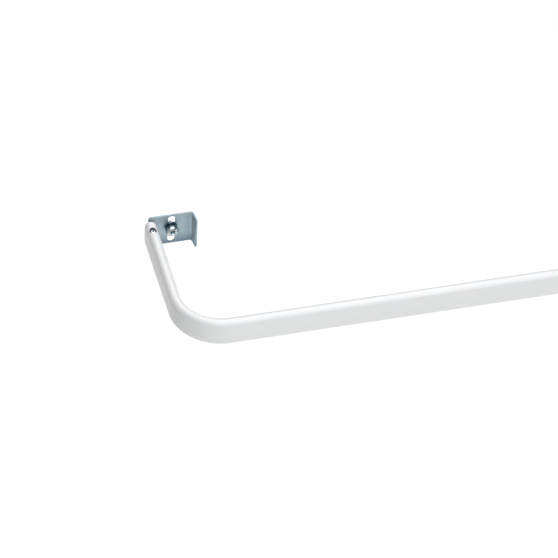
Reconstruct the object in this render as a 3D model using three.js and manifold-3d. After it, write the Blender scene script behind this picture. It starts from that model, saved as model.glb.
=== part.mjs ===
// Wrap-around curtain rod: a flat-oval telescoping tube with a return at each end,
// pinned to two zinc-plated steel wall brackets. Millimetres, +Z up, +Y into the wall.
import * as THREE from 'three';
import { mergeVertices } from 'three/addons/utils/BufferGeometryUtils.js';
import Module from 'manifold-3d';

const wasm = await Module();
wasm.setup();

// Driving dimensions: the rod
const overallWidth = 711.2; // across both returns with the rod pushed together
const overallReach = 133.35; // wall to the front face of the rod
const tubeHeight = 25.4;
const tubeDepth = 9.525;
const tubeWall = 0.6;
const slideClearance = 0.2; // all round, between the outer and the inner tube
const bendRadius = 38.1; // to the middle of the tube
const mouthSetback = 22; // outer tube's mouth to the start of the inner tube's bend
const hiddenEndGap = 10; // glide to the start of the outer tube's bend
const tubeEndGap = 1.1; // end of a return to its bracket's plate

// Driving dimensions: the glide in the inner tube's hidden end
const glideLength = 24;
const glideFlange = 2;
const glideWall = 1.6;
const glideInsertGap = 0.12;
const glideRunningGap = 0.1;

// Driving dimensions: the brackets
const sheet = 1.2;
const plateHeight = 31.75;
const plateInboard = 37.4; // middle of the return to the outside of the flange's bend
const plateOutboard = 1.4; // middle of the return to the plate's free edge
const plateCorner = 2.5;
const slotInboard = 18.5; // middle of the return to the middle of the slot
const slotEndStrip = 1.6; // plate left above and below the slot
const slotClearance = 0.8; // each side of the screw
const flangeDepth = 11.8; // wall to the flange's front edge
const flangeAngle = THREE.MathUtils.degToRad(83);
const flangeCorner = 2;
const plateBendInside = 2;
const tongueLength = 22; // wall to the front end of the tongue
const tongueBendInside = 0.6;
const tongueSideGap = 0.45; // web and ear edges to the tube's flat sides
const tongueCornerGap = 0.25; // ear corners to the tube's rounded ends
const collarWall = 0.8; // metal round the tapped hole, drawn down below the ear
const collarDrop = 1.3;
const tongueRootStrip = 4; // how far the tongue's root runs into the plate

// Driving dimensions: the fasteners
const wallScrew = {
  diameter: 4.8,
  length: 12.7, // under the head
  point: 3,
  tip: 1.8, // across the end of the point
  headDiameter: 11.2,
  headHeight: 3,
  headSide: 0.9, // upright part of the head's side
  recessWidth: 5.4,
  recessBlade: 1.4,
  recessDepth: 1.9,
};
const wallScrewStandOff = 4; // washer to the underside of the head, backed off
const wallScrewRaise = 2.9; // middle of the slot up to the screw
const wallScrewInboard = slotInboard - 0.6; // the screw sits towards the tube's side of its slot
const washerDiameter = 11;
const washerThickness = 1.5;
const washerClearance = 0.3;
const recessBottom = { width: 0.45, blade: 0.7 }; // of its size at the top
const clampScrew = {
  diameter: 3,
  length: 5.5,
  point: 0.6,
  tip: 2.2,
  headDiameter: 5.6,
  headHeight: 2.2,
  headSide: 1,
  recessWidth: 2.9,
  recessBlade: 0.8,
  recessDepth: 1.3,
};
const clampHoleClearance = 0.4; // round the head, in the tube
const clampHoleSetback = 10; // end of the return to the middle of the hole
const threadGap = 0.3;
const restGap = 0.05; // between faces that bear on each other

// How finely curves are cut
const roundSegments = 12; // half of a flat oval
const bendSegments = 18; // a right-angle bend
const sheetBendSegments = 6;
const turnedSegments = 32;
const domeSegments = 6;

// Worked out from the driving dimensions
const projection = overallReach - tubeDepth / 2;
const innerHeight = tubeHeight - 2 * (tubeWall + slideClearance);
const innerDepth = tubeDepth - 2 * (tubeWall + slideClearance);
const returnSpacing = overallWidth - (tubeDepth + innerDepth) / 2;
const tubeEndY = -(sheet + tubeEndGap);
const clampY = tubeEndY - clampHoleSetback;
const outerRun = returnSpacing - bendRadius - mouthSetback - bendRadius;
const innerRun = outerRun - hiddenEndGap - glideFlange + mouthSetback;
const slotWidth = wallScrew.diameter + 2 * slotClearance;
const slotLength = plateHeight - 2 * slotEndStrip;
const flatStart = slotInboard + slotWidth / 2;
const flatEnd = plateInboard - sheet - plateBendInside;
const clampHoleRadius = clampScrew.headDiameter / 2 + clampHoleClearance;
const screwWay = clampScrew.diameter / 2 + threadGap; // radius of the tapped hole
const originInboard = (flatStart + flatEnd) / 2; // middle of the plain part of the plate

// Materials
const enamel = { color: 0xe9eaec, roughness: 0.28, metalness: 0 };
const zinc = { color: 0xa9b4ba, roughness: 0.38, metalness: 0.9 };
const brightZinc = { color: 0xc3c8cc, roughness: 0.22, metalness: 1 };
const nylon = { color: 0xe4e2da, roughness: 0.55, metalness: 0 };

function toSolid(geometry) {
  const bare = geometry.clone();
  bare.deleteAttribute('normal');
  bare.deleteAttribute('uv');
  const merged = mergeVertices(bare, 1e-5);
  return new wasm.Manifold(new wasm.Mesh({
    numProp: 3,
    vertProperties: Float32Array.from(merged.attributes.position.array),
    triVerts: Uint32Array.from(merged.index.array),
  }));
}

function toGeometry(solid) {
  const mesh = solid.getMesh();
  const geometry = new THREE.BufferGeometry();
  geometry.setAttribute('position', new THREE.BufferAttribute(mesh.vertProperties, mesh.numProp));
  geometry.setIndex(new THREE.BufferAttribute(mesh.triVerts, 1));
  geometry.computeVertexNormals();
  return geometry;
}

// The same shape for the other end of the rod, with its faces still pointing out
function mirrored(geometry) {
  const copy = geometry.clone();
  copy.scale(-1, 1, 1);
  const index = copy.index ?? new THREE.BufferAttribute(
    Uint32Array.from({ length: copy.attributes.position.count }, (_, i) => i), 1);
  for (let i = 0; i < index.count; i += 3) {
    const first = index.getX(i);
    index.setX(i, index.getX(i + 1));
    index.setX(i + 1, first);
  }
  copy.setIndex(index);
  copy.computeVertexNormals();
  return copy;
}

// Flat-oval outline: long axis along x, half-round ends
function ovalPoints(height, depth) {
  const radius = depth / 2;
  const centre = height / 2 - radius;
  const points = [];
  for (const side of [1, -1]) {
    for (let i = 0; i <= roundSegments; i += 1) {
      const angle = Math.PI * (i / roundSegments - 0.5);
      const x = side * (centre + radius * Math.cos(angle));
      points.push(new THREE.Vector2(x, side * radius * Math.sin(angle)));
    }
  }
  return points;
}

function ovalShape(height, depth, wall) {
  const shape = new THREE.Shape(ovalPoints(height, depth));
  if (wall > 0) {
    const hole = ovalPoints(height - 2 * wall, depth - 2 * wall);
    shape.holes.push(new THREE.Path(hole));
  }
  return shape;
}

// A path that is given by its stations, so a straight stretch takes a single step
class StationPath extends THREE.Curve {
  constructor(stations) {
    super();
    this.stations = stations;
  }

  stationAt(u) {
    return this.stations[Math.round(u * (this.stations.length - 1))];
  }

  getPointAt(u, target = new THREE.Vector3()) {
    return target.copy(this.stationAt(u).point);
  }

  getTangentAt(u, target = new THREE.Vector3()) {
    return target.copy(this.stationAt(u).heading);
  }
}

// From the wall end of a return, forwards, round the bend and along the front
function returnPath(run) {
  const stations = [{ point: new THREE.Vector3(0, tubeEndY, 0), heading: new THREE.Vector3(0, -1, 0) }];
  for (let i = 0; i <= bendSegments; i += 1) {
    const angle = (Math.PI / 2) * (i / bendSegments);
    const x = bendRadius * (1 - Math.cos(angle));
    const y = -projection + bendRadius * (1 - Math.sin(angle));
    stations.push({
      point: new THREE.Vector3(x, y, 0),
      heading: new THREE.Vector3(Math.sin(angle), -Math.cos(angle), 0),
    });
  }
  stations.push({
    point: new THREE.Vector3(bendRadius + run, -projection, 0),
    heading: new THREE.Vector3(1, 0, 0),
  });
  return new StationPath(stations);
}

function uprightCylinder(radius, low, high) {
  const geometry = new THREE.CylinderGeometry(radius, radius, high - low, turnedSegments);
  geometry.rotateX(Math.PI / 2);
  geometry.translate(0, 0, (low + high) / 2);
  return geometry;
}

// A bent tube with the clamp screw's hole through its top edge
function returnTube(height, depth, run) {
  const path = returnPath(run);
  const steps = path.stations.length - 1;
  const shape = ovalShape(height, depth, tubeWall);
  const tube = new THREE.ExtrudeGeometry(shape, { steps, extrudePath: path });
  const hole = uprightCylinder(clampHoleRadius, (height - depth) / 2, height);
  hole.translate(0, clampY, 0);
  return toGeometry(toSolid(tube).subtract(toSolid(hole)));
}

// Outline of a bent strip of sheet: straight flats and bends, walked along its middle.
// A bend is positive to the left and is given by its inside radius.
function stripShape(start, heading, moves, thickness) {
  const half = thickness / 2;
  const at = start.clone();
  let angle = heading;
  const left = [];
  const right = [];
  const mark = () => {
    const normal = new THREE.Vector2(-Math.sin(angle), Math.cos(angle));
    left.push(at.clone().addScaledVector(normal, half));
    right.push(at.clone().addScaledVector(normal, -half));
  };
  mark();
  for (const move of moves) {
    if (move.flat !== undefined) {
      at.add(new THREE.Vector2(Math.cos(angle), Math.sin(angle)).multiplyScalar(move.flat));
      mark();
    } else {
      const radius = move.inside + half;
      const side = Math.sign(move.bend);
      const centre = new THREE.Vector2(-Math.sin(angle), Math.cos(angle))
        .multiplyScalar(side * radius).add(at);
      for (let i = 1; i <= sheetBendSegments; i += 1) {
        const turned = angle + move.bend * (i / sheetBendSegments);
        at.set(Math.sin(turned), -Math.cos(turned)).multiplyScalar(side * radius).add(centre);
        const kept = angle;
        angle = turned;
        mark();
        angle = kept;
      }
      angle += move.bend;
    }
  }
  return new THREE.Shape([...left, ...right.reverse()]);
}

function extrudedZ(shape, low, high) {
  const geometry = new THREE.ExtrudeGeometry(shape, { depth: high - low, bevelEnabled: false });
  geometry.translate(0, 0, low);
  return geometry;
}

// The shape's x and y become the part's x and z, extruded along y
function extrudedY(shape, low, high) {
  const geometry = new THREE.ExtrudeGeometry(shape, { depth: high - low, bevelEnabled: false });
  geometry.rotateX(Math.PI / 2);
  geometry.translate(0, high, 0);
  return geometry;
}

// The shape's x and y become the part's y and z, extruded along x
function extrudedX(shape, low, high) {
  const geometry = new THREE.ExtrudeGeometry(shape, { depth: high - low, bevelEnabled: false });
  geometry.rotateX(Math.PI / 2);
  geometry.rotateZ(Math.PI / 2);
  geometry.translate(low, 0, 0);
  return geometry;
}

// A tab from x = near out to x = -length, with its two far corners round
function roundedTab(near, length, height, corner) {
  const shape = new THREE.Shape();
  shape.moveTo(near, -height / 2);
  shape.lineTo(near, height / 2);
  shape.lineTo(-length + corner, height / 2);
  shape.absarc(-length + corner, height / 2 - corner, corner, Math.PI / 2, Math.PI, false);
  shape.absarc(-length + corner, -height / 2 + corner, corner, Math.PI, 1.5 * Math.PI, false);
  return shape;
}

// How high the tongue's ears may stand inside a tube's bore
function tongueSize(height, depth) {
  const boreRadius = depth / 2 - tubeWall;
  const half = boreRadius - tongueSideGap;
  const reach = boreRadius - tongueCornerGap;
  const top = (height - depth) / 2 + Math.sqrt(reach * reach - half * half);
  return { half, top };
}

// One stamping: slotted plate, flange bent forward, and a channel-shaped tongue in the tube
function bracket(height, depth) {
  const { half, top } = tongueSize(height, depth);
  const rightAngle = Math.PI / 2;
  const bend = plateBendInside + sheet;
  const flangeFlat = (flangeDepth - bend) / Math.sin(flangeAngle);
  const plateStrip = stripShape(new THREE.Vector2(-plateOutboard, -sheet / 2), 0, [
    { flat: plateInboard - bend + plateOutboard },
    { bend: -flangeAngle, inside: plateBendInside },
    { flat: flangeFlat },
  ], sheet);
  const plate = toSolid(extrudedZ(plateStrip, -plateHeight / 2, plateHeight / 2));

  // Trim the free edge's corners, then the flange's front corners
  const past = 2 * plateInboard;
  const faceOutline = roundedTab(past, plateOutboard, plateHeight, plateCorner);
  const trimmedFace = plate.intersect(toSolid(extrudedY(faceOutline, -flangeDepth * 2, flangeDepth)));
  const sideOutline = roundedTab(past, flangeDepth, plateHeight, flangeCorner);
  const trimmed = trimmedFace.intersect(toSolid(extrudedX(sideOutline, -plateOutboard * 2, past)));

  // The tongue's root turns forward out of the plate, and its channel runs on from there
  const rootTurn = tongueBendInside + sheet;
  const root = stripShape(new THREE.Vector2(tongueRootStrip, -sheet / 2), Math.PI, [
    { flat: tongueRootStrip + half - rootTurn },
    { bend: rightAngle, inside: tongueBendInside },
    { flat: (tongueLength - rootTurn) / 2 },
  ], sheet);
  const rootHalf = top - rootTurn;
  const channel = stripShape(new THREE.Vector2(half, top - sheet / 2), Math.PI, [
    { flat: 2 * half - rootTurn },
    { bend: rightAngle, inside: tongueBendInside },
    { flat: 2 * rootHalf },
    { bend: rightAngle, inside: tongueBendInside },
    { flat: 2 * half - rootTurn },
  ], sheet);
  const collarRadius = Math.min(screwWay + collarWall, half);
  const collar = uprightCylinder(collarRadius, top - sheet - collarDrop, top - sheet / 2);
  collar.translate(0, clampY, 0);
  const tongue = toSolid(extrudedZ(root, -rootHalf, rootHalf))
    .add(toSolid(extrudedY(channel, -tongueLength, -rootTurn)))
    .add(toSolid(collar));

  const screwEnd = top - clampScrew.length - threadGap;
  const tapped = uprightCylinder(screwWay, screwEnd, top + sheet);
  tapped.translate(0, clampY, 0);
  const slot = extrudedY(ovalShape(slotLength, slotWidth, 0), -2 * sheet, sheet);
  slot.rotateY(rightAngle);
  slot.translate(slotInboard, 0, 0);
  return toGeometry(trimmed.add(tongue).subtract(toSolid(tapped)).subtract(toSolid(slot)));
}

// Cross recess: two crossed blades that narrow from the top of the head to the bottom
function crossRecess({ headHeight, recessWidth, recessBlade, recessDepth }) {
  const blade = new THREE.BoxGeometry(recessWidth, 2 * recessDepth, recessBlade);
  const places = blade.attributes.position;
  for (let i = 0; i < places.count; i += 1) {
    if (places.getY(i) > 0) {
      places.setX(i, places.getX(i) * recessBottom.width);
      places.setZ(i, places.getZ(i) * recessBottom.blade);
    }
  }
  blade.translate(0, -headHeight, 0);
  const crossed = blade.clone();
  crossed.rotateY(Math.PI / 2);
  return toSolid(blade).add(toSolid(crossed));
}

// Pan head screw along +Y, with the underside of its head at y = 0
function panScrew(screw) {
  const radius = screw.diameter / 2;
  const headRadius = screw.headDiameter / 2;
  const crown = screw.headHeight - screw.headSide;
  const profile = [new THREE.Vector2(0, -screw.headHeight)];
  for (let i = 1; i <= domeSegments; i += 1) {
    const angle = (Math.PI / 2) * (i / domeSegments);
    const x = headRadius * Math.sin(angle);
    profile.push(new THREE.Vector2(x, -screw.headSide - crown * Math.cos(angle)));
  }
  profile.push(new THREE.Vector2(headRadius, 0));
  profile.push(new THREE.Vector2(radius, 0));
  profile.push(new THREE.Vector2(radius, screw.length - screw.point));
  profile.push(new THREE.Vector2(screw.tip / 2, screw.length));
  profile.push(new THREE.Vector2(0, screw.length));
  const turned = toSolid(new THREE.LatheGeometry(profile, turnedSegments));
  return toGeometry(turned.subtract(crossRecess(screw)));
}

function washer() {
  const bore = wallScrew.diameter / 2 + washerClearance;
  const rim = washerDiameter / 2;
  const profile = [[bore, 0], [bore, -washerThickness], [rim, -washerThickness], [rim, 0], [bore, 0]]
    .map(([x, y]) => new THREE.Vector2(x, y));
  return new THREE.LatheGeometry(profile, turnedSegments);
}

// Nylon plug with a flange, pushed into the inner tube's hidden end. It runs along +X.
function glide(height, depth) {
  const drop = 2 * (tubeWall + glideInsertGap);
  const flangeGrowth = 2 * (slideClearance - glideRunningGap);
  const plug = ovalShape(height - drop, depth - drop, glideWall);
  const collar = ovalShape(height + flangeGrowth, depth + flangeGrowth, tubeWall + glideWall);
  const whole = toGeometry(toSolid(extrudedZ(plug, -glideFlange, glideLength))
    .add(toSolid(extrudedZ(collar, -glideFlange, -restGap))));
  whole.rotateY(Math.PI / 2);
  return whole;
}

function named(name, geometry, finish) {
  const mesh = new THREE.Mesh(geometry, new THREE.MeshStandardMaterial(finish));
  mesh.name = name;
  return mesh;
}

// Everything at one end, with the return's middle at x = 0 and the run towards +X
function endPieces(side, height, depth) {
  const turn = side === 'right' ? mirrored : (geometry) => geometry;
  const sign = side === 'right' ? -1 : 1;
  const { top } = tongueSize(height, depth);

  const plate = named(`${side}_bracket`, turn(bracket(height, depth)), zinc);

  const ring = named(`${side}_wall_washer`, washer(), brightZinc);
  ring.position.set(sign * wallScrewInboard, -sheet - restGap, wallScrewRaise);

  const wallFastener = named(`${side}_wall_screw`, panScrew(wallScrew), brightZinc);
  const headY = -sheet - restGap - washerThickness - wallScrewStandOff;
  wallFastener.position.set(sign * wallScrewInboard, headY, wallScrewRaise);

  const clampFastener = named(`${side}_clamp_screw`, panScrew(clampScrew), brightZinc);
  clampFastener.rotation.x = -Math.PI / 2;
  clampFastener.position.set(0, clampY, top + restGap);

  return [plate, ring, wallFastener, clampFastener];
}

const leftEnd = new THREE.Group();
leftEnd.position.x = -originInboard;
leftEnd.add(named('outer_tube', returnTube(tubeHeight, tubeDepth, outerRun), enamel));
leftEnd.add(...endPieces('left', tubeHeight, tubeDepth));

const rightEnd = new THREE.Group();
rightEnd.position.x = returnSpacing - originInboard;
rightEnd.add(named('inner_tube', mirrored(returnTube(innerHeight, innerDepth, innerRun)), enamel));
rightEnd.add(...endPieces('right', innerHeight, innerDepth));
const glidePiece = named('inner_glide', glide(innerHeight, innerDepth), nylon);
glidePiece.position.set(-(bendRadius + innerRun), -projection, 0);
rightEnd.add(glidePiece);

const curtainRod = new THREE.Group();
curtainRod.add(leftEnd, rightEnd);

export default curtainRod;
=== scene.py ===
from math import radians

import bmesh
import bpy
import numpy as np
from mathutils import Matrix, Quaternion, Vector


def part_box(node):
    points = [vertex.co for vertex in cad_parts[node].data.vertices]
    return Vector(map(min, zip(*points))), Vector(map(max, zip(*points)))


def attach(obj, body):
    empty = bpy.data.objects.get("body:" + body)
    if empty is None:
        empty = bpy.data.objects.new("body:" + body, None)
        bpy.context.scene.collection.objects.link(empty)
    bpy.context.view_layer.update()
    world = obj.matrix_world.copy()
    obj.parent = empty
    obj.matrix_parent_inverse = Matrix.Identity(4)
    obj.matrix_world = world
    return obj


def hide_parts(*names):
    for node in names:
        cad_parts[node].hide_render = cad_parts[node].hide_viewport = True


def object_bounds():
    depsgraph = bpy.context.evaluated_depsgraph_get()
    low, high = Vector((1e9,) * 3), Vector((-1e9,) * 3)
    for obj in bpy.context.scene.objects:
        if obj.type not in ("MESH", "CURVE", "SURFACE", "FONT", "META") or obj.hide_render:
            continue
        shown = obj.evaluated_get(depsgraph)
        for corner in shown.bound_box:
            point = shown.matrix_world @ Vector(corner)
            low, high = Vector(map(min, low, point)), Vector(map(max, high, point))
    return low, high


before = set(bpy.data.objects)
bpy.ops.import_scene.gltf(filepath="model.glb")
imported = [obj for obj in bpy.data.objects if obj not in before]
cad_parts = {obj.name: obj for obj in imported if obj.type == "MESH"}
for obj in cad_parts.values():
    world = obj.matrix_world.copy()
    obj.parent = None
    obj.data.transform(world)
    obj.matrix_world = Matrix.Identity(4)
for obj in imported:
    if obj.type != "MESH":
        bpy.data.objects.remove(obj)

cadBox = [list(corner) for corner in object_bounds()]
millimetre = 0.001
print("frame loaded:", len(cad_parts), "CAD nodes")


# Camera: a long lens from the left, above the rod, turned a little about its own axis
cameraSetup = {
    "aim": (0.0984, 0.06082, 0.01003),  # from the lowest corner of the CAD box
    "azimuth": -16.978,
    "elevation": 43.947,
    "roll": 3.59,
    "distance": 2.97159,
    "lens": 231.05,
    "sensorWidth": 36.0,
}


def placeCamera(setup):
    # the camera stands back from the aim point along the unit vector of its azimuth and elevation
    azimuth, elevation = radians(setup["azimuth"]), radians(setup["elevation"])
    back = Vector((np.sin(azimuth) * np.cos(elevation), -np.cos(azimuth) * np.cos(elevation),
                   np.sin(elevation)))
    data = bpy.data.cameras.new("camera")
    data.lens = setup["lens"]
    data.sensor_width = setup["sensorWidth"]
    camera = bpy.data.objects.new("camera", data)
    camera.rotation_mode = "QUATERNION"
    camera.location = Vector(cadBox[0]) + Vector(setup["aim"]) + back * setup["distance"]
    roll = Quaternion((0, 0, 1), radians(setup["roll"]))
    camera.rotation_quaternion = (-back).to_track_quat("-Z", "Y") @ roll
    bpy.context.scene.collection.objects.link(camera)
    bpy.context.scene.camera = camera


placeCamera(cameraSetup)
bpy.context.scene.view_settings.view_transform = "Standard"
print("camera placed")


# Small tools for surfaces: a grid of points, its faces, and a closed mesh made of such patches
weldDistance = 1e-6  # metres within which the points of two patches become one
bevelAngle = 50  # degrees between two faces, from which their edge is rounded


def gridFaces(rows, columns, closedRows=False, closedColumns=False):
    # face (i, j) joins rows i and i+1 with columns j and j+1, counted round where the grid closes
    i, j = np.meshgrid(np.arange(rows - (not closedRows)), np.arange(columns - (not closedColumns)),
                       indexing="ij")
    below, beside = (i + 1) % rows, (j + 1) % columns
    corners = [i * columns + j, below * columns + j, below * columns + beside, i * columns + beside]
    return np.stack(corners, -1).reshape(-1, 4)


def patch(points, closedRows=False, closedColumns=False):
    return points.reshape(-1, 3), gridFaces(*points.shape[:2], closedRows, closedColumns)


def spacing(*stops):
    # joins evenly spaced stretches: start, (end, steps), (end, steps) and so on
    values = [np.array([stops[0]], float)]
    for end, steps in stops[1:]:
        values.append(np.linspace(values[-1][-1], end, steps + 1)[1:])
    return np.concatenate(values)


def makePiece(name, patches, material, body, nodes, sharpDegrees=38, paintedShade=None):
    # the patches end to end in one mesh, welded where their edges meet
    counts = np.cumsum([0] + [len(points) for points, _ in patches])
    points = np.concatenate([points for points, _ in patches])
    faces = np.concatenate([faces + start for (_, faces), start in zip(patches, counts)])
    mesh = bpy.data.meshes.new(name)
    mesh.from_pydata((points * millimetre).tolist(), [], faces.tolist())
    # screws carry a darkening attribute of painted shade and painted dark reflection
    if paintedShade is not None:
        mesh.attributes.new("paintedShade", "FLOAT", "POINT").data.foreach_set("value", paintedShade)
    shell = bmesh.new()
    shell.from_mesh(mesh)
    bmesh.ops.remove_doubles(shell, verts=shell.verts, dist=weldDistance)
    bmesh.ops.recalc_face_normals(shell, faces=shell.faces)
    shell.to_mesh(mesh)
    shell.free()
    mesh.shade_smooth()
    mesh.set_sharp_from_angle(angle=radians(sharpDegrees))
    mesh.materials.append(material)
    piece = bpy.data.objects.new(name, mesh)
    bpy.context.scene.collection.objects.link(piece)
    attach(piece, body)
    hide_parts(*nodes)
    print("made", name, "with", len(mesh.polygons), "faces")
    return piece


def addThickness(piece, thickness, offset, edge, edgeSegments=2):
    # offset -1 keeps the drawn surface outside, and 0 keeps it in the middle of the sheet
    wall = piece.modifiers.new("wall", "SOLIDIFY")
    wall.thickness = thickness * millimetre
    wall.offset = offset
    wall.use_even_offset = True
    rounding = piece.modifiers.new("edges", "BEVEL")
    rounding.width = edge * millimetre
    rounding.segments = edgeSegments
    rounding.limit_method = "ANGLE"
    rounding.angle_limit = radians(bevelAngle)
    rounding.harden_normals = True


def boxOf(node):
    # lowest and highest corner of a CAD node, in millimetres
    return [np.array(corner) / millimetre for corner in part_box(node)]


# Materials: one node at a time, colours given as sRGB hex
def linearColour(hexCode):
    # sRGB to linear: a straight line near black and a 2.4 power above it
    srgb = np.array([int(hexCode[i:i + 2], 16) for i in (1, 3, 5)]) / 255
    return tuple(np.where(srgb <= 0.04045, srgb / 12.92, ((srgb + 0.055) / 1.055) ** 2.4)) + (1.0,)


def addNode(tree, kind, inputs=(), **settings):
    # a value sets the input of that name, and a node's output is linked to it
    # returns the first output in use
    node = tree.nodes.new("ShaderNode" + kind)
    for key, value in settings.items():
        setattr(node, key, value)
    for key, value in dict(inputs).items():
        socket = next(each for each in node.inputs if each.enabled and each.name == key)
        if isinstance(value, bpy.types.NodeSocket):
            tree.links.new(value, socket)
        else:
            socket.default_value = value
    return next(each for each in node.outputs if each.enabled)


def startMaterial(name, **inputs):
    material = bpy.data.materials.new(name)
    material.use_nodes = True
    tree = material.node_tree
    shader = tree.nodes["Principled BSDF"]
    for key, value in inputs.items():
        shader.inputs[key.replace("_", " ")].default_value = value
    place = addNode(tree, "TexCoord").node.outputs["Object"]
    return material, tree, shader, place


def perMetre(sizeInMillimetres):
    # a noise texture's scale for features of about this size
    return 1 / (sizeInMillimetres * millimetre)


def addNoise(tree, place, size, detail):
    return addNode(tree, "TexNoise", {"Vector": place, "Scale": perMetre(size), "Detail": detail})


def mixColours(tree, share, first, second):
    # the share of the way from first to second; each is a hex code or a node's output
    first, second = (linearColour(each) if isinstance(each, str) else each for each in (first, second))
    return addNode(tree, "Mix", {"Factor": share, "A": first, "B": second}, data_type="RGBA")


def finishSurface(tree, shader, look, colour, gloss, relief):
    # roughness goes from smooth to dull with gloss, and relief raises a shallow bump
    tree.links.new(colour, shader.inputs["Base Color"])
    roughness = addNode(tree, "MapRange", {"Value": gloss, "To Min": look["smooth"], "To Max": look["dull"]})
    tree.links.new(roughness, shader.inputs["Roughness"])
    bump = addNode(tree, "Bump", {"Height": relief, "Strength": look["relief"],
                                  "Distance": look["reliefHeight"] * millimetre})
    tree.links.new(bump, shader.inputs["Normal"])


# Baked white enamel on steel: glossy, with a shallow orange peel that softens long reflections
enamelLook = {
    "colour": "#E2E2E2", "shade": "#DDDEDF", "cloud": 45.0,
    "smooth": 0.28, "dull": 0.38, "coat": 0.15, "coatRoughness": 0.1,
    "peel": 2.2, "relief": 0.5, "reliefHeight": 0.004,
}


def bakedEnamel(look):
    material, tree, shader, place = startMaterial("baked white enamel", Metallic=0.0, IOR=1.52)
    shader.inputs["Coat Weight"].default_value = look["coat"]
    shader.inputs["Coat Roughness"].default_value = look["coatRoughness"]
    cloud = addNoise(tree, place, look["cloud"], 2.0)
    colour = mixColours(tree, cloud, look["colour"], look["shade"])
    finishSurface(tree, shader, look, colour, cloud, addNoise(tree, place, look["peel"], 1.0))
    return material


# Zinc-plated pressed steel: blue-grey and satin, with rolling grain, faint mottle and a greenish passivate,
# and a painted shade that darkens its lower part
zincLook = {
    "colour": "#BBC6CF", "passivate": "#A4BCC1", "smudge": 14.0,
    "mottle": "#A5B1BB", "mottleSize": 5.0, "mottleFrom": 0.35, "mottleTo": 0.7, "mottleShare": 0.6,
    # the darker tint and its heights below are painted shade on the lower part of the sheet
    "paintedLowShade": "#66788A", "paintedLowShadeTop": -3.0, "paintedLowShadeFoot": -14.5, "paintedLowShadeWander": 2.5, "paintedLowShadeShare": 0.85,
    "grain": 0.35, "grainStretch": 24.0,
    "smooth": 0.5, "dull": 0.66, "relief": 0.35, "reliefHeight": 0.004,
}


def zincPlate(look):
    material, tree, shader, place = startMaterial("zinc plated sheet", Metallic=1.0)
    mottle = addNoise(tree, place, look["mottleSize"], 4.0)
    smudge = addNoise(tree, place, look["smudge"], 2.0)
    colour = mixColours(tree, smudge, look["colour"], look["passivate"])
    spread = addNode(tree, "MapRange", {"Value": mottle, "From Min": look["mottleFrom"],
                                        "From Max": look["mottleTo"],
                                        "To Min": 0.0, "To Max": look["mottleShare"]})
    colour = mixColours(tree, spread, colour, look["mottle"])
    # a painted shade darkens the sheet's lower part: the tint grows from its top height down to its foot
    # height, along a line that wanders with the smudges
    height = addNode(tree, "SeparateXYZ", {"Vector": place}).node.outputs["Z"]
    wander = addNode(tree, "Math", {"Value": smudge}, operation="MULTIPLY_ADD").node
    wander.inputs[1].default_value = look["paintedLowShadeWander"] * millimetre
    tree.links.new(height, wander.inputs[2])
    paintedLowShadeAmount = addNode(tree, "MapRange", {"Value": wander.outputs["Value"],
                                         "From Min": look["paintedLowShadeTop"] * millimetre,
                                         "From Max": look["paintedLowShadeFoot"] * millimetre,
                                         "To Min": 0.0, "To Max": look["paintedLowShadeShare"]})
    colour = mixColours(tree, paintedLowShadeAmount, colour, look["paintedLowShade"])
    stretch = addNode(tree, "Mapping", {"Vector": place, "Scale": (1 / look["grainStretch"], 1.0, 1.0)})
    grain = addNoise(tree, stretch, look["grain"], 3.0)
    finishSurface(tree, shader, look, colour, grain, grain)
    return material


# Bright zinc on turned steel: a clear, slightly blue mirror with fine marks; the teal in a recess is painted
# shade, and at a rim it is a painted dark reflection
brightLook = {
    # the recess colour is painted shade in a recess and a painted dark reflection at a rim and side
    "name": "bright zinc fastener", "colour": "#CDD3D7", "stain": "#A9B2B9", "recess": "#527580",
    "stainSize": 2.5, "smooth": 0.12, "dull": 0.24, "marks": 0.12, "relief": 0.2, "reliefHeight": 0.002,
}
# Zinc on stamped washers: teal and glossy, drawn dark as painted shade under the screw head and a painted
# dark reflection of its underside
darkLook = {
    "name": "zinc washer with painted shade", "colour": "#5F7B86", "stain": "#4A606C", "recess": "#2C3B44",
    "stainSize": 3.0, "smooth": 0.2, "dull": 0.32, "marks": 0.3, "relief": 0.2, "reliefHeight": 0.003,
}


def platedFastener(look):
    material, tree, shader, place = startMaterial(look["name"], Metallic=1.0)
    stain = addNoise(tree, place, look["stainSize"], 3.0)
    colour = mixColours(tree, stain, look["colour"], look["stain"])
    # the darkening attribute is 1 deep in a screw's recess, as painted shade, and at its rim, as a painted
    # dark reflection, and 0 where a mesh hasn't got it
    paintedShade = addNode(tree, "Attribute", attribute_name="paintedShade").node.outputs["Fac"]
    colour = mixColours(tree, paintedShade, colour, look["recess"])
    finishSurface(tree, shader, look, colour, stain, addNoise(tree, place, look["marks"], 1.0))
    return material


# Natural moulded nylon: creamy, slightly waxy
nylonLook = {"colour": "#E9E6DA", "shade": "#DDD9CB", "cloud": 6.0, "roughness": 0.5}


def mouldedNylon(look):
    material, tree, shader, place = startMaterial("natural nylon", Metallic=0.0, IOR=1.53,
                                                  Roughness=look["roughness"])
    cloud = addNoise(tree, place, look["cloud"], 2.0)
    colour = mixColours(tree, cloud, look["colour"], look["shade"])
    tree.links.new(colour, shader.inputs["Base Color"])
    return material


enamel = bakedEnamel(enamelLook)
zinc = zincPlate(zincLook)
bright = platedFastener(brightLook)
dark = platedFastener(darkLook)
nylon = mouldedNylon(nylonLook)
print("materials made")


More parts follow.
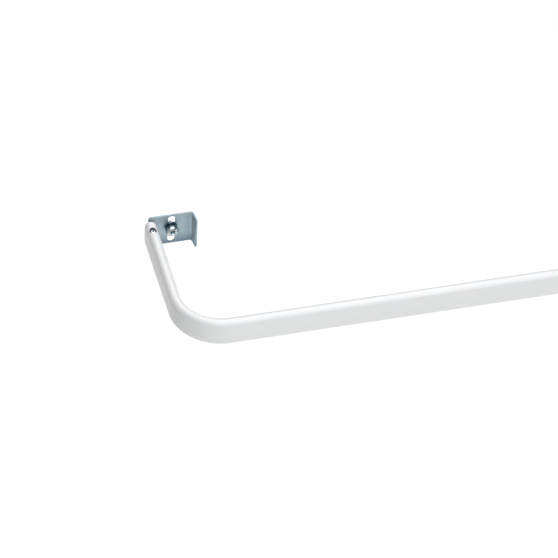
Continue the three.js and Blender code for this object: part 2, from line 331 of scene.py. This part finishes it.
# Tubes: a flat oval carried from the wall end of a return, round the bend and along the front
tubeShape = {
    "outerDepth": 9.525,
    "innerDepth": 7.925,
    "bendRadius": 38.1,
    "wall": 0.6,
    "edge": 0.14,
    "arcSteps": 32,
    "flatSteps": 4,
    "bendSteps": 72,
    "wallSteps": 3,
    "holeSteps": 12,
    "returnSteps": 6,
    "frontSteps": 24,
    "holeRadius": 3.2,
    "holeSetback": 10.0,
    "holeBlock": 6.0,
    "holeColumns": 12,
    "dimpleWidth": 1.0,
    "dimpleDepth": 0.35,
    "dimpleLimit": 0.98,
    "rings": 10,
    "ringEase": 0.7,
}


def ovalSection(height, depth, shape):
    # across = r sin(angle) and up = straight half + r cos(angle) on the round ends, straight lines between
    radius = depth / 2
    straight = height / 2 - radius
    top = np.linspace(-np.pi / 2, np.pi / 2, shape["arcSteps"] + 1)
    side = np.linspace(straight, -straight, shape["flatSteps"] + 1)[1:-1]
    across = np.concatenate([radius * np.sin(top), np.full(len(side), radius),
                             -radius * np.sin(top), np.full(len(side), -radius)])
    up = np.concatenate([straight + radius * np.cos(top), side,
                         -straight - radius * np.cos(top), -side])
    return across, up


def returnLine(wallEnd, frontY, runEnd, shape):
    # straight to the bend, a quarter circle of the bend radius, then straight along the front
    bend = shape["bendRadius"]
    holeY = wallEnd - shape["holeSetback"]
    block = shape["holeBlock"]
    back = spacing(wallEnd, (holeY + block, shape["wallSteps"]), (holeY - block, shape["holeSteps"]),
                   (frontY + bend, shape["returnSteps"]))
    turn = np.linspace(0, np.pi / 2, shape["bendSteps"] + 1)[1:]
    front = spacing(bend, (runEnd, shape["frontSteps"]))[1:]
    x = np.concatenate([0 * back, bend * (1 - np.cos(turn)), front])
    y = np.concatenate([back, frontY + bend * (1 - np.sin(turn)), 0 * front + frontY])
    angle = np.concatenate([0 * back, turn, 0 * front + np.pi / 2])
    return x, y, angle


def ringPatch(outer, inner, rings, ease=1.0):
    # point = (1 - t) of the outer loop + t of the inner loop; an ease below 1 crowds rings at the inner
    t = np.linspace(0, 1, rings + 1)[:, None, None] ** ease
    return (1 - t) * outer + t * inner


def tubePatches(returnX, side, height, depth, wallEnd, frontY, runEnd, shape):
    across, up = ovalSection(height, depth, shape)
    x, y, angle = returnLine(wallEnd, frontY, runEnd, shape)
    # point = the line's point less across times the direction square to the line, at the height up
    points = np.stack([x[:, None] - across * np.cos(angle)[:, None],
                       y[:, None] - across * np.sin(angle)[:, None],
                       np.broadcast_to(up, (len(x), len(up)))], -1)
    middle, reach = shape["arcSteps"] // 2, shape["holeColumns"]
    holeFirst, holeLast = shape["wallSteps"], shape["wallSteps"] + shape["holeSteps"]
    rows, columns = points.shape[:2]
    keep = np.ones((rows - 1, columns), bool)
    keep[holeFirst:holeLast, middle - reach:middle + reach] = False
    faces = gridFaces(rows, columns, closedColumns=True)[keep.ravel()]
    # the block left out is filled by rings that pass from its square edge to the round hole
    j = np.arange(middle - reach, middle + reach + 1)
    i = np.arange(holeFirst, holeLast + 1)
    edgeRow = np.concatenate([0 * j[:-1] + i[0], i[:-1], 0 * j[:0:-1] + i[-1], i[:0:-1]])
    edgeColumn = np.concatenate([j[:-1], 0 * i[:-1] + j[-1], j[:0:-1], 0 * i[:0:-1] + j[0]])
    radius = depth / 2
    straight = height / 2 - radius
    holeY = wallEnd - shape["holeSetback"]
    edgeAngle = np.arcsin(np.clip(across[edgeColumn] / radius, -1, 1))
    flat = np.stack([edgeAngle * radius, y[edgeRow] - holeY], -1)
    direction = np.arctan2(flat[:, 1] / shape["holeBlock"], flat[:, 0] / abs(flat[:, 0]).max())
    holeAcross = shape["holeRadius"] * np.cos(direction)
    round_ = np.stack([np.arcsin(holeAcross / radius) * radius,
                       shape["holeRadius"] * np.sin(direction)], -1)
    rings = ringPatch(flat, round_, shape["rings"], shape["ringEase"])
    ringAngle = rings[..., 0] / radius
    planAcross = radius * np.sin(ringAngle)
    distance = np.hypot(planAcross, rings[..., 1])
    # the rim is dished: depth times the square of a share that falls from 1 at the hole to 0 outside
    outside = min(shape["holeRadius"] + shape["dimpleWidth"],
                  abs(planAcross[0]).max() * shape["dimpleLimit"])
    fall = np.clip((outside - distance) / (outside - shape["holeRadius"]), 0, 1)
    dish = shape["dimpleDepth"] * fall ** 2
    crown = np.stack([-planAcross, rings[..., 1] + holeY,
                      straight + radius * np.cos(ringAngle) - dish], -1)
    place = np.array([side, 1, 1])
    shift = np.array([returnX, 0, 0])
    ringSet, ringFaces = patch(crown, closedColumns=True)
    return [(points.reshape(-1, 3) * place + shift, faces), (ringSet * place + shift, ringFaces)]


def makeTube(name, node, body, side, depth, shape):
    low, high = boxOf(node)
    # the return's line runs half the tube's depth inside the box's outer side
    height = high[2] - low[2]
    returnX = low[0] + depth / 2 if side > 0 else high[0] - depth / 2
    runEnd = (high[0] - returnX) if side > 0 else (returnX - low[0])
    patches = tubePatches(returnX, side, height, depth, high[1], low[1] + depth / 2, runEnd, shape)
    piece = makePiece(name, patches, enamel, body, [node], sharpDegrees=60)
    addThickness(piece, shape["wall"], -1.0, shape["edge"])
    return returnX


leftReturn = makeTube("outer_tube_skin", "outer_tube", "fixed_half", 1, tubeShape["outerDepth"],
                      tubeShape)
rightReturn = makeTube("inner_tube_skin", "inner_tube", "sliding_half", -1, tubeShape["innerDepth"],
                       tubeShape)
print("tubes made")


# Brackets: one pressed sheet, drawn as its middle surface and then given its thickness
bracketShape = {
    "sheet": 1.2,
    "plateOutboard": 1.4,
    "plateInboard": 37.4,
    "plateHeight": 31.75,
    "plateCorner": 2.5,
    "rootStart": 0.6,
    "reliefWidth": 0.8,
    "slotInboard": 18.5,
    "slotWidth": 6.4,
    "slotLength": 28.55,
    "flangeDepth": 11.8,
    "flangeAngle": 83.0,
    "flangeCorner": 2.0,
    "plateBendInside": 2.0,
    "flangeSteps": 4,
    "flangeTurn": 66.0,
    "flangeRows": 6,
    "tongueLength": 22.0,
    "tongueSideGap": 0.45,
    "tongueTopGap": 0.25,
    "tubeStraight": 7.9375,
    "tongueBendInside": 0.6,
    "holeRadius": 1.8,
    "holeSetback": 12.3,
    "holeBlock": 3.0,
    "holeMargin": 0.5,
    "edge": 0.12,
    "rows": 16,
    "cornerSteps": 8,
    "topSteps": 20,
    "rings": 5,
    "bendSteps": 10,
    "rootSteps": 2,
    "earSteps": 5,
    "holeSteps": 8,
    "overSteps": 6,
    "acrossSteps": 12,
    "earRings": 4,
}


def bentStrip(length, bendStart, radius, turnDegrees):
    # straight to the bend, then an arc of the radius, then straight; returns how far along and aside
    turn = radians(turnDegrees)
    arc = np.clip(length - bendStart, 0, abs(radius * turn)) / radius * np.sign(turn)
    after = np.clip(length - bendStart - abs(radius * turn), 0, None)
    along = np.clip(length, None, bendStart) + radius * np.sin(abs(arc)) + after * np.cos(turn)
    aside = np.sign(turn) * radius * (1 - np.cos(arc)) + after * np.sin(turn)
    return along, aside


def platePatches(shape, rootHalf):
    # a ring from the plate's outline to its slot, then a strip bent forward as the flange
    half, corner = shape["plateHeight"] / 2, shape["plateCorner"]
    free, middle = -shape["plateOutboard"], -shape["sheet"] / 2
    bendStart = shape["plateInboard"] - shape["sheet"] - shape["plateBendInside"]
    side = np.linspace(-half, half, shape["rows"] + 1)
    round_ = np.linspace(0, np.pi / 2, shape["cornerSteps"] + 1)[1:-1]
    top = np.linspace(bendStart, free + corner, shape["topSteps"] + 1)
    # a relief notch on each side of the root lets the tongue bend without tearing the free edge
    relief = rootHalf + shape["reliefWidth"]
    root = np.linspace(rootHalf, -rootHalf, shape["rows"] + 1)
    edgeX = np.concatenate([[free, free, -shape["rootStart"]], 0 * root - shape["rootStart"],
                            [-shape["rootStart"], free, free]])
    edgeZ = np.concatenate([[half - corner, relief, relief], root, [-relief, -relief, corner - half]])
    x = np.concatenate([0 * side[:-1] + bendStart, top, free + corner - corner * np.sin(round_),
                        edgeX, free + corner - corner * np.cos(round_), top[:0:-1]])
    z = np.concatenate([side[:-1], 0 * top + half, half - corner + corner * np.cos(round_),
                        edgeZ, corner - half - corner * np.sin(round_), 0 * top[1:] - half])
    # each outline point is joined to the nearest point of the slot, the free edge's points evenly spread
    aimZ = np.concatenate([side[:-1], 0 * top + half, half - corner + corner * np.cos(round_),
                           np.linspace(edgeZ[0], edgeZ[-1], len(edgeZ)),
                           corner - half - corner * np.sin(round_), 0 * top[1:] - half])
    slotRadius = shape["slotWidth"] / 2
    reach = shape["slotLength"] / 2 - slotRadius
    spine = np.stack([0 * x + shape["slotInboard"], np.clip(aimZ, -reach, reach)], -1)
    outline = np.stack([x, z], -1)
    away = np.stack([x, aimZ], -1) - spine
    slot = spine + slotRadius * away / np.linalg.norm(away, axis=1, keepdims=True)
    rings = ringPatch(outline, slot, shape["rings"])
    plate = np.stack([rings[..., 0], 0 * rings[..., 0] + middle, rings[..., 1]], -1)
    # the flange narrows to its round corners: half height less corner (1 - sqrt(1 - t squared))
    radius = shape["plateBendInside"] + shape["sheet"] / 2
    arc = radius * radians(shape["flangeAngle"])
    flat = (shape["flangeDepth"] - radius - shape["sheet"] / 2) / np.sin(radians(shape["flangeAngle"]))
    cornerStart = bendStart + arc + flat - shape["flangeCorner"]
    # the last stretch of the corner is left long enough for the bevel along the free edge
    turn = np.append(np.linspace(0, radians(shape["flangeTurn"]), shape["flangeRows"]), np.pi / 2)
    length = np.concatenate([spacing(bendStart, (bendStart + arc, shape["bendSteps"]),
                                     (cornerStart, shape["flangeSteps"]))[:-1],
                             cornerStart + shape["flangeCorner"] * np.sin(turn)])
    t = np.clip((length - cornerStart) / shape["flangeCorner"], 0, 1)
    narrow = (half - shape["flangeCorner"] * (1 - np.sqrt(1 - t ** 2))) / half
    along, aside = bentStrip(length, bendStart, radius, -shape["flangeAngle"])
    wide = np.stack(np.broadcast_arrays(along[:, None], middle + aside[:, None],
                                        narrow[:, None] * side), -1)
    return [patch(plate, closedColumns=True), patch(wide)]


def tonguePatches(shape, tongueHalf, tongueTop):
    # the web leaves the plate's free edge and turns forward; its two ears turn inboard
    thick = shape["sheet"]
    turnInside = shape["tongueBendInside"]
    radius = turnInside + thick / 2
    rootTurn = turnInside + thick
    rootHalf = tongueTop - rootTurn
    arc = radius * np.pi / 2
    straight = tongueHalf - rootTurn - shape["rootStart"]
    webStart = straight + arc
    holeBack = shape["holeSetback"] - shape["holeBlock"]
    holeFront = shape["holeSetback"] + shape["holeBlock"]
    reach = spacing(rootTurn, (holeBack, shape["earSteps"]), (holeFront, shape["holeSteps"]),
                    (shape["tongueLength"], shape["earSteps"]))
    length = np.concatenate([spacing(0, (straight, shape["rootSteps"]), (webStart, shape["bendSteps"]))[:-1],
                             webStart + reach - rootTurn])
    along, aside = bentStrip(length, straight, radius, -90)
    z = np.linspace(-rootHalf, rootHalf, shape["rows"] + 1)
    web = np.stack(np.broadcast_arrays((-shape["rootStart"] - along)[:, None],
                                       (aside - thick / 2)[:, None], z), -1)
    # an ear is a second bent strip, from the web's edge over to the tube's inboard side
    holeMiddle = arc + tongueHalf - rootTurn
    blockStart = holeMiddle - shape["holeRadius"] - shape["holeMargin"]
    around = spacing(0, (blockStart, shape["overSteps"]),
                     (arc + 2 * tongueHalf - rootTurn, shape["acrossSteps"]))

    def earSurface(around, reach, side):
        up, over = bentStrip(around, 0, radius, 90)
        return np.stack(np.broadcast_arrays(over - tongueHalf + thick / 2, -reach,
                                            side * (rootHalf + up)), -1)

    first, last, inner = shape["earSteps"], shape["earSteps"] + shape["holeSteps"], shape["overSteps"]
    keep = np.ones((len(reach) - 1, len(around) - 1), bool)
    keep[first:last, inner:] = False
    points, faces = patch(earSurface(around, reach[:, None], 1))
    # rings from the block left out, in the flat pattern, to the round hole
    row, column = reach[first:last + 1], around[inner:]
    edge = np.concatenate([np.stack([column[:-1], 0 * column[:-1] + row[0]], -1),
                           np.stack([0 * row[:-1] + column[-1], row[:-1]], -1),
                           np.stack([column[:0:-1], 0 * column[1:] + row[-1]], -1),
                           np.stack([0 * row[1:] + column[0], row[:0:-1]], -1)])
    middle = np.array([holeMiddle, shape["holeSetback"]])
    away = (edge - middle) / np.abs(edge - middle).max(0)
    circle = middle + shape["holeRadius"] * away / np.linalg.norm(away, axis=1, keepdims=True)
    rings = ringPatch(edge, circle, shape["earRings"])
    return [patch(web), (points, faces[keep.ravel()]), patch(earSurface(around, reach[:, None], -1)),
            patch(earSurface(rings[..., 0], rings[..., 1], 1), closedColumns=True)]


def makeBracket(name, node, body, side, returnX, tubeDepth, shape):
    # the tongue's top corners keep the top gap from the bore: height = sqrt(radius squared - half squared)
    boreRadius = tubeDepth / 2 - tubeShape["wall"]
    tongueHalf = boreRadius - shape["tongueSideGap"]
    tongueTop = shape["tubeStraight"] + np.sqrt((boreRadius - shape["tongueTopGap"]) ** 2 - tongueHalf ** 2)
    rootHalf = tongueTop - shape["tongueBendInside"] - shape["sheet"]
    place, shift = np.array([side, 1, 1]), np.array([returnX, 0, 0])
    patches = platePatches(shape, rootHalf) + tonguePatches(shape, tongueHalf, tongueTop)
    moved = [(points * place + shift, faces) for points, faces in patches]
    piece = makePiece(name, moved, zinc, body, [node], sharpDegrees=50)
    addThickness(piece, shape["sheet"], 0.0, shape["edge"], 3)


makeBracket("left_bracket_plate", "left_bracket", "fixed_half", 1, leftReturn,
            tubeShape["outerDepth"], bracketShape)
makeBracket("right_bracket_plate", "right_bracket", "sliding_half", -1, rightReturn,
            tubeShape["innerDepth"], bracketShape)
print("brackets made")


# Washers: a flat ring turned about the screw, with the soft front edge that stamping leaves
washerShape = {"outside": 11.0, "bore": 5.4, "thickness": 1.5, "frontEdge": 0.4, "frontSteps": 8,
               "edge": 0.12, "steps": 96}


def turned(profile, steps, centre, axis):
    # every profile point (radius, along) is carried round the axis: centre + along axis + radius round it
    axis = np.array(axis, float)
    first = np.array([1.0, 0, 0])
    second = np.cross(axis, first)
    angle = np.linspace(0, 2 * np.pi, steps, endpoint=False)[:, None]
    round_ = np.cos(angle) * first + np.sin(angle) * second
    radius, along = profile[..., 0], profile[..., 1]
    if radius.ndim == 1:
        radius, along = radius[:, None], along[:, None]
    return np.array(centre) + radius[..., None] * round_ + along[..., None] * axis


def arcCorner(centre, radius, start, end, steps=5):
    # centre + radius in the direction of each angle, from start to end in degrees
    angle = np.radians(np.linspace(start, end, steps + 1))
    return np.stack([centre[0] + radius * np.cos(angle), centre[1] + radius * np.sin(angle)], -1)


def makeWasher(side, shape):
    low, high = boxOf(side + "_wall_washer")
    rim, bore, thick = shape["outside"] / 2, shape["bore"] / 2, shape["thickness"]
    front, edge = shape["frontEdge"], shape["edge"]
    profile = np.concatenate([
        arcCorner((rim - edge, thick - edge), edge, 90, 0),
        arcCorner((rim - front, front), front, 0, -90, shape["frontSteps"]),
        arcCorner((bore + front / 2, front / 2), front / 2, -90, -180),
        arcCorner((bore + edge, thick - edge), edge, 180, 90),
    ])
    centre = (low + high) / 2 * np.array([1, 0, 1]) + np.array([0, low[1], 0])
    points = turned(profile, shape["steps"], centre, (0, 1, 0))
    makePiece(side + "_wall_washer_ring", [patch(points, True, True)], dark, side + "_washer",
              [side + "_wall_washer"], sharpDegrees=30)


for side in ("left", "right"):
    makeWasher(side, washerShape)


# Screws: domed head with a cross recess, then a shank whose radius rises and falls with the thread
wallScrewShape = {
    "headRadius": 5.6, "headHeight": 3.0, "headSide": 0.45, "rimRound": 0.3,
    "crossWidth": 5.4, "crossBlade": 1.5, "crossDepth": 1.9, "crossSoft": 0.1, "crossTurn": 45.0,
    "sideSlope": 3.0, "endSlope": 1.2, "coneRadius": 2.2, "coneSlope": 1.3,
    "crest": 2.4, "core": 1.75, "pitch": 1.6, "flank": 0.45, "crestFlat": 0.08,
    "length": 12.7, "point": 3.0, "tip": 0.9, "neck": 0.6,
    "steps": 144, "headRows": 84, "shankRows": 220,
}
clampScrewShape = {
    "headRadius": 2.8, "headHeight": 2.2, "headSide": 1.5, "rimRound": 0.3,
    "crossWidth": 2.9, "crossBlade": 0.75, "crossDepth": 1.3, "crossSoft": 0.05, "crossTurn": 0.0,
    "sideSlope": 5.0, "endSlope": 1.8, "coneRadius": 0.9, "coneSlope": 1.8,
    "crest": 1.4, "core": 1.12, "pitch": 0.5, "flank": 0.24, "crestFlat": 0.06,
    "length": 5.5, "point": 0.6, "tip": 1.1, "neck": 0.25,
    "steps": 120, "headRows": 64, "shankRows": 160,
}
# How dark the tint is: it fades over the outer share of the head and is strong on the head's side. The tint
# is painted shade in the recess and a painted dark reflection at the rim and side
headPaintedShade = {"rimShare": 0.2, "recessGain": 1.4, "side": 0.9}
# Across and deep, as shares of the tip's radius: the dimple that thread rolling leaves in the point
tipDimple = [[0.45, 0.0], [0.3, 0.25], [0.0, 0.4]]


def headGrid(shape):
    # dome: the cap of a ball that meets the rim at the side's height, less the depth of the recess
    rim, side = shape["headRadius"], shape["headSide"]
    t = np.sin(np.linspace(0, np.pi / 2, shape["headRows"] + 1))
    radius = rim * t[:, None]
    angle = np.linspace(0, 2 * np.pi, shape["steps"], endpoint=False)[None, :]
    crown = shape["headHeight"] - side
    ball = (rim ** 2 + crown ** 2) / (2 * crown)
    dome = shape["headHeight"] - ball + np.sqrt(ball ** 2 - radius ** 2)
    along = radius * np.cos(angle + radians(shape["crossTurn"]))
    across = radius * np.sin(angle + radians(shape["crossTurn"]))
    soft = shape["crossSoft"]
    # the recess is the deepest of two crossed blades and the cone of the driver's point
    cone = np.minimum(shape["coneSlope"] * (shape["coneRadius"] - radius), shape["crossDepth"])
    depth = (cone + np.sqrt(cone ** 2 + soft ** 2)) / 2 + 0 * angle
    for length, width in ((abs(along), abs(across)), (abs(across), abs(along))):
        wall = shape["sideSlope"] * (shape["crossBlade"] / 2 - width)
        end = shape["endSlope"] * (shape["crossWidth"] / 2 - length)
        blade = np.minimum(np.minimum(wall, end), shape["crossDepth"])
        depth = np.maximum(depth, (blade + np.sqrt(blade ** 2 + soft ** 2)) / 2)
    rimShare = headPaintedShade["rimShare"]
    faded = depth * np.clip((rim - radius) / (rimShare * rim), 0, 1)
    # the painted shade goes with the recess's depth, and a painted dark reflection rises again over the rim's
    # share of the head
    paintedShade = np.clip(faded / shape["crossDepth"] * headPaintedShade["recessGain"], 0, 1)
    paintedShade = paintedShade + np.clip((t[:, None] - 1) / rimShare + 1, 0, 1)
    return np.stack([np.broadcast_to(radius, faded.shape), faded - dome], -1), paintedShade


def shankGrid(shape):
    # radius = core + (crest - core) times a ridge that winds once round for every pitch along
    along = np.linspace(shape["neck"], shape["length"], shape["shankRows"] + 1)[:, None]
    angle = np.linspace(0, 2 * np.pi, shape["steps"], endpoint=False)[None, :]
    away = (along / shape["pitch"] - angle / (2 * np.pi)) % 1
    away = np.minimum(away, 1 - away) * shape["pitch"]
    ridge = np.clip((shape["flank"] - away) / (shape["flank"] - shape["crestFlat"]), 0, 1)
    start = np.clip((along - shape["neck"]) / (shape["pitch"] / 2), 0, 1)
    taper = np.clip((shape["length"] - along) / shape["point"], 0, 1)
    end = shape["tip"] / shape["crest"]
    core = shape["core"] * (end + (1 - end) * taper)
    crest = shape["crest"] * (end + (1 - end) * taper)
    radius = core + (crest - core) * ridge * start
    return np.stack([radius, np.broadcast_to(along, radius.shape)], -1)


def screwPoints(shape, centre, axis):
    # one profile from the head's crown over its lip, down the shank and into the point, turned round the axis
    rim, core, neck = shape["headRadius"], shape["core"], shape["neck"]
    lip = arcCorner((rim - shape["rimRound"], -shape["rimRound"]), shape["rimRound"], 0, 90)
    fillet = arcCorner((core + neck, neck), neck, -90, -180)
    side = np.concatenate([lip, fillet])
    side = np.broadcast_to(side[:, None], (len(side), shape["steps"], 2))
    shank = shankGrid(shape)
    # the flat end of the point, with its dimple
    dimple = np.array(tipDimple) * shape["tip"]
    tip = shank[-1:, :1] * [0.0, 1.0] + (dimple * [1, -1])[:, None]
    tip = np.broadcast_to(tip, (len(dimple), shape["steps"], 2))
    head, paintedShade = headGrid(shape)
    profile = np.concatenate([head, side, shank, tip])
    paintedShade = np.concatenate([paintedShade, np.full((len(side), shape["steps"]), headPaintedShade["side"]),
                               np.zeros((len(shank) + len(tip), shape["steps"]))])
    return turned(profile, shape["steps"], centre, axis), paintedShade.ravel()


def makeScrew(name, node, body, shape, axis):
    low, high = boxOf(node)
    # the underside of the head is the shank's length back from the far end of the point
    along = np.array(axis)
    centre = (low + high) / 2 * (along == 0) + np.where(along > 0, high, low) * abs(along)
    centre = centre - shape["length"] * along
    points, paintedShade = screwPoints(shape, centre, axis)
    makePiece(name, [patch(points, closedColumns=True)], bright, body, [node],
              sharpDegrees=55, paintedShade=paintedShade)


for side in ("left", "right"):
    makeScrew(side + "_wall_screw_turned", side + "_wall_screw", side + "_screw",
              wallScrewShape, (0, 1, 0))
    makeScrew(side + "_clamp_screw_turned", side + "_clamp_screw", side + "_clamp",
              clampScrewShape, (0, 0, -1))
print("fasteners made")


# Glide: a hollow nylon plug with a flange, for the inner tube's hidden end
glideShape = {"plugDepth": 6.485, "plugHeight": 22.36, "flangeGrow": 1.64, "flange": 1.95, "wall": 1.6,
              "lead": 1.5, "edge": 0.2, "mouthIn": 0.3, "leadIn": 0.35, "endIn": 0.55}


def makeGlide(shape):
    low, high = boxOf("inner_glide")
    plug, flange = shape["plugDepth"] / 2, shape["flangeGrow"] / 2
    wall, edge, mouthIn, flangeEnd = shape["wall"], shape["edge"], shape["mouthIn"], shape["flange"]
    length = high[0] - low[0]
    # rows of flat ovals: how far each stands out from the plug, and how far along
    rows = np.array([[-wall, mouthIn], [flange - edge, 0], [flange, edge], [flange, flangeEnd - edge],
                     [flange - edge, flangeEnd], [0, flangeEnd], [0, length - shape["lead"]],
                     [-shape["leadIn"], length - edge], [-shape["endIn"], length],
                     [-wall, length - mouthIn]])
    grid = []
    for grow, along in rows:
        across, up = ovalSection(shape["plugHeight"] + 2 * grow, 2 * (plug + grow), tubeShape)
        grid.append(np.stack([0 * up + low[0] + along, across + (low[1] + high[1]) / 2, up], -1))
    makePiece("inner_glide_plug", [patch(np.array(grid), True, True)], nylon, "sliding_half",
              ["inner_glide"], sharpDegrees=30)


makeGlide(glideShape)
print("glide made")


# Stage: a wide pale floor well below the rod, a dim surround, and two large soft boxes above and in front
stageSetup = {
    "floorDrop": 0.35,
    "floorSize": 14.0,
    "floorColour": "#F4F4F3",
    "floorGlow": 0.19,
    "floorRoughness": 0.95,
    "surroundColour": "#F4F6FA",
    "surroundLevel": 0.06,
    "surroundPeak": 1.6,
    "towardsTop": 0.2,
    "towardsSide": (0.1, -0.15),
}
softBoxes = [
    {"name": "overhead box", "place": (0.25, 0.5, 1.7), "aim": (0.25, 0.3, 0.0),
     "size": (1.5, 2.8), "power": 36.0},
    {"name": "front box", "place": (0.3, -2.1, 1.5), "aim": (0.2, 0.0, 0.0),
     "size": (2.6, 1.6), "power": 34.0},
]


def makeFloor(setup):
    # a flat square that lies floorDrop below the frame's origin, with its middle under it
    reach = np.array([-0.5, 0.5]) * setup["floorSize"]
    x, y = np.meshgrid(reach, reach, indexing="ij")
    corners, faces = patch(np.stack([x, y, 0 * x - setup["floorDrop"]], -1))
    mesh = bpy.data.meshes.new("floor")
    mesh.from_pydata(corners.tolist(), [], faces.tolist())
    material, _, shader, _ = startMaterial("matt floor", Roughness=setup["floorRoughness"])
    shader.inputs["Base Color"].default_value = linearColour(setup["floorColour"])
    shader.inputs["Emission Color"].default_value = linearColour(setup["floorColour"])
    shader.inputs["Emission Strength"].default_value = setup["floorGlow"]
    mesh.materials.append(material)
    floor = bpy.data.objects.new("floor", mesh)
    bpy.context.scene.collection.objects.link(floor)


def makeSurround(setup):
    world = bpy.data.worlds.new("studio")
    world.use_nodes = True
    tree = world.node_tree
    # brightness = level + a share of the direction's height, and shares of its way to the right and back
    heading = addNode(tree, "TexCoord").node.outputs["Generated"]
    tilt = addNode(tree, "VectorMath", {"Vector": heading}, operation="DOT_PRODUCT").node
    tilt.inputs[1].default_value = (*setup["towardsSide"], setup["towardsTop"])
    level = addNode(tree, "MapRange", {"Value": tilt.outputs["Value"], "From Min": -setup["surroundLevel"],
                                       "From Max": setup["surroundPeak"] - setup["surroundLevel"],
                                       "To Min": 0.0, "To Max": setup["surroundPeak"]})
    background = tree.nodes["Background"]
    background.inputs["Color"].default_value = linearColour(setup["surroundColour"])
    tree.links.new(level, background.inputs["Strength"])
    bpy.context.scene.world = world


def makeLights(boxes):
    for box in boxes:
        data = bpy.data.lights.new(box["name"], "AREA")
        data.shape = "RECTANGLE"
        data.size, data.size_y = box["size"]
        data.energy = box["power"]
        light = bpy.data.objects.new(box["name"], data)
        light.location = box["place"]
        light.rotation_mode = "QUATERNION"
        light.rotation_quaternion = (Vector(box["aim"]) - light.location).to_track_quat("-Z", "Y")
        bpy.context.scene.collection.objects.link(light)


makeFloor(stageSetup)
makeSurround(stageSetup)
makeLights(softBoxes)
print("stage and lights made")
